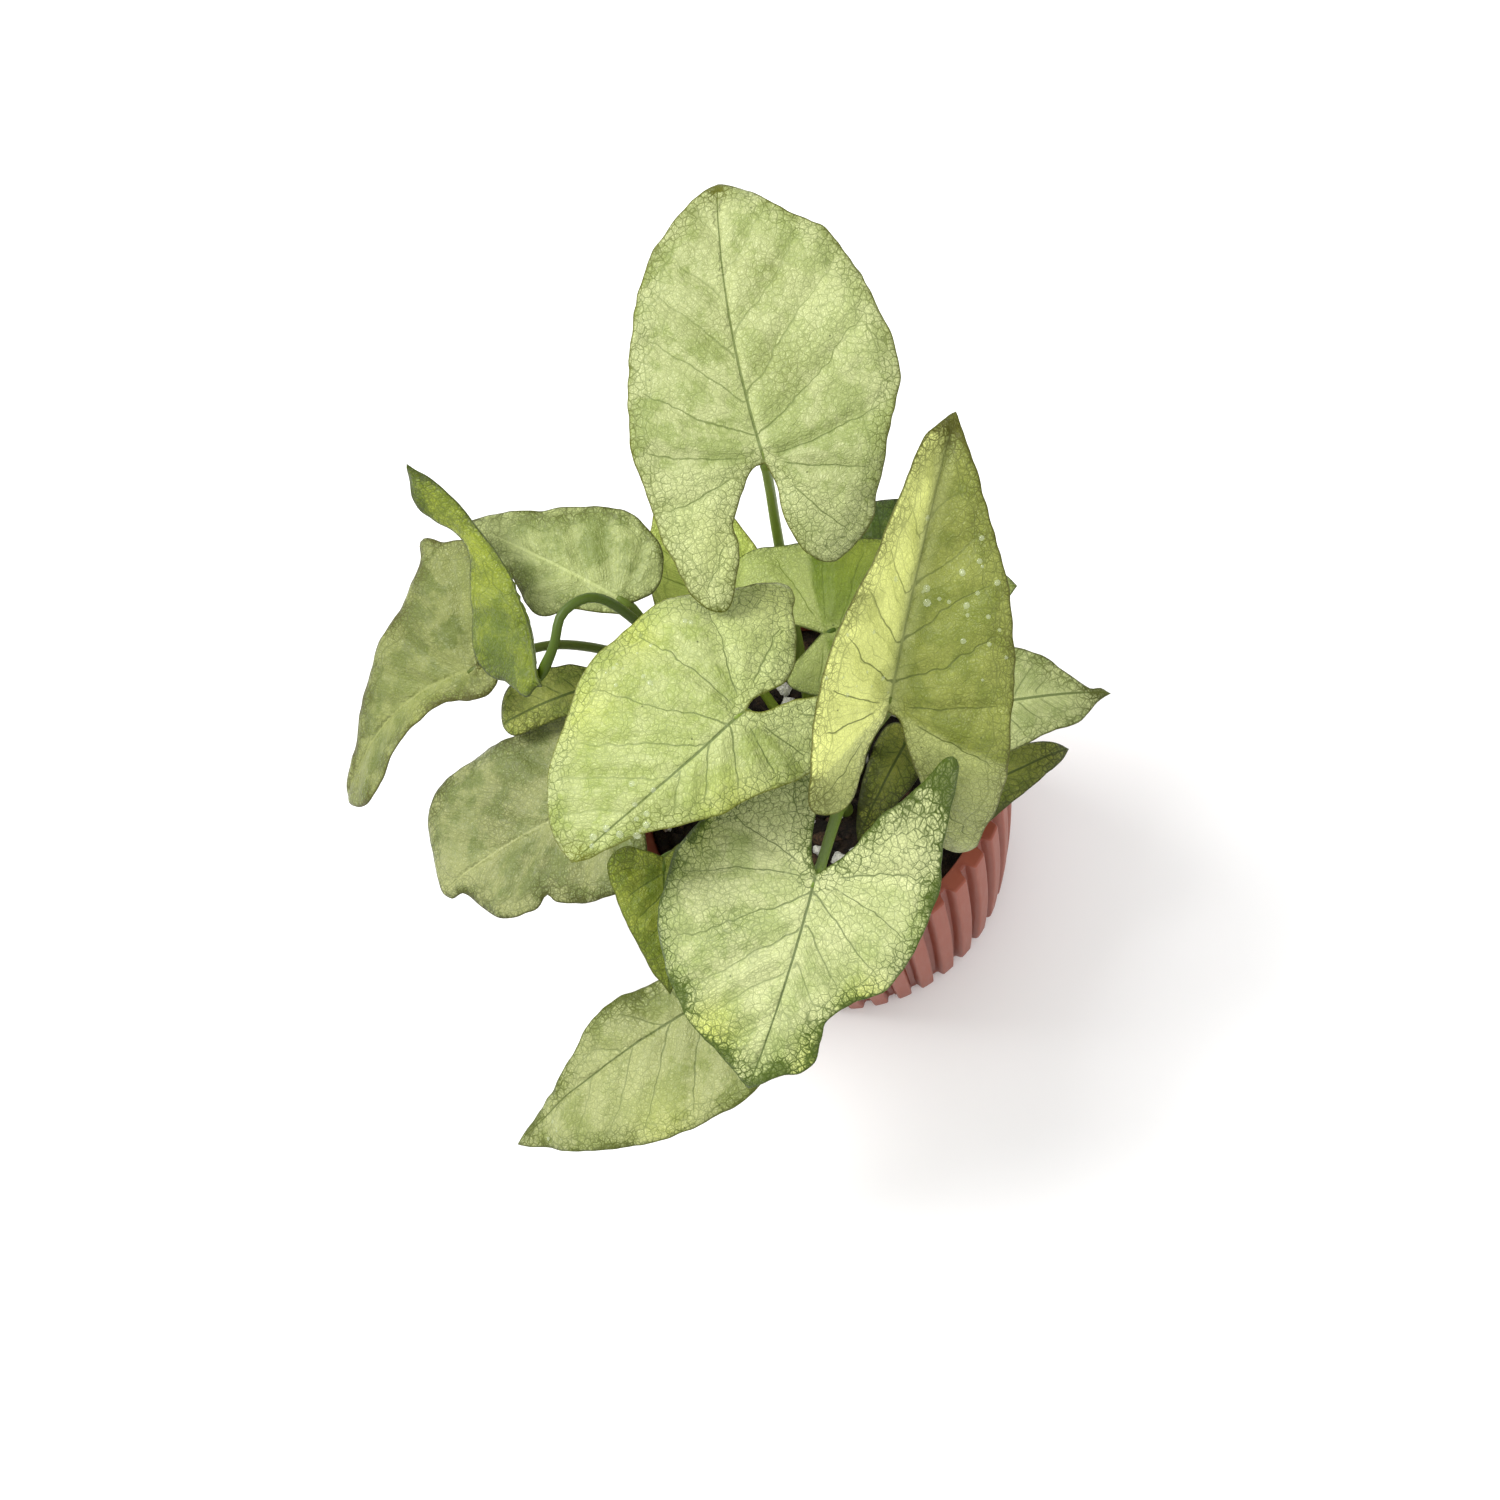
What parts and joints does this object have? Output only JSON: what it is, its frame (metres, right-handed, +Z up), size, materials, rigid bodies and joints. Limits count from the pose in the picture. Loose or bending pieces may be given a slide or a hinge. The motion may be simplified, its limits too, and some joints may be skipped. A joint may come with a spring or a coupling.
{
  "type": "arrowhead plant in pot",
  "caption": "Arrowhead plant: pale arrow-shaped leaves on thin stalks, growing from potting mix in a small fluted plastic pot with drain holes.",
  "frame": {"origin": "centre of the pot's flat underside", "axes": "+Z up along the pot's axis; -Y towards the viewer's side, +X to the viewer's right"},
  "size_m": [0.1454, 0.1477, 0.1351],
  "materials": {
    "leaf_back_tall": "satin leaf",
    "leaf_right_folded": "satin leaf",
    "leaf_centre": "satin leaf",
    "leaf_front": "satin leaf",
    "leaf_front_low": "satin leaf",
    "leaf_middle": "satin leaf",
    "leaf_left_low": "satin leaf",
    "leaf_small_front": "satin leaf",
    "leaf_far_left": "satin leaf",
    "leaf_left_narrow": "satin leaf",
    "leaf_back_left": "satin leaf",
    "leaf_back_olive": "satin leaf",
    "leaf_back_dark": "satin leaf",
    "leaf_right": "satin leaf",
    "leaf_right_low": "satin leaf",
    "leaf_inner_low": "satin leaf",
    "leaf_small_left": "satin leaf",
    "pot": "satin",
    "soil": "matt"
  },
  "bodies": {
    "root": {"leaf_back_tall": "leaf_back_tall", "leaf_right_folded": "leaf_right_folded", "leaf_centre": "leaf_centre", "leaf_front": "leaf_front", "leaf_front_low": "leaf_front_low", "leaf_middle": "leaf_middle", "leaf_left_low": "leaf_left_low", "leaf_small_front": "leaf_small_front", "leaf_far_left": "leaf_far_left", "leaf_left_narrow": "leaf_left_narrow", "leaf_back_left": "leaf_back_left", "leaf_back_olive": "leaf_back_olive", "leaf_back_dark": "leaf_back_dark", "leaf_right": "leaf_right", "leaf_right_low": "leaf_right_low", "leaf_inner_low": "leaf_inner_low", "leaf_small_left": "leaf_small_left", "pot": "pot", "soil": "soil"}
  },
  "joints": []
}
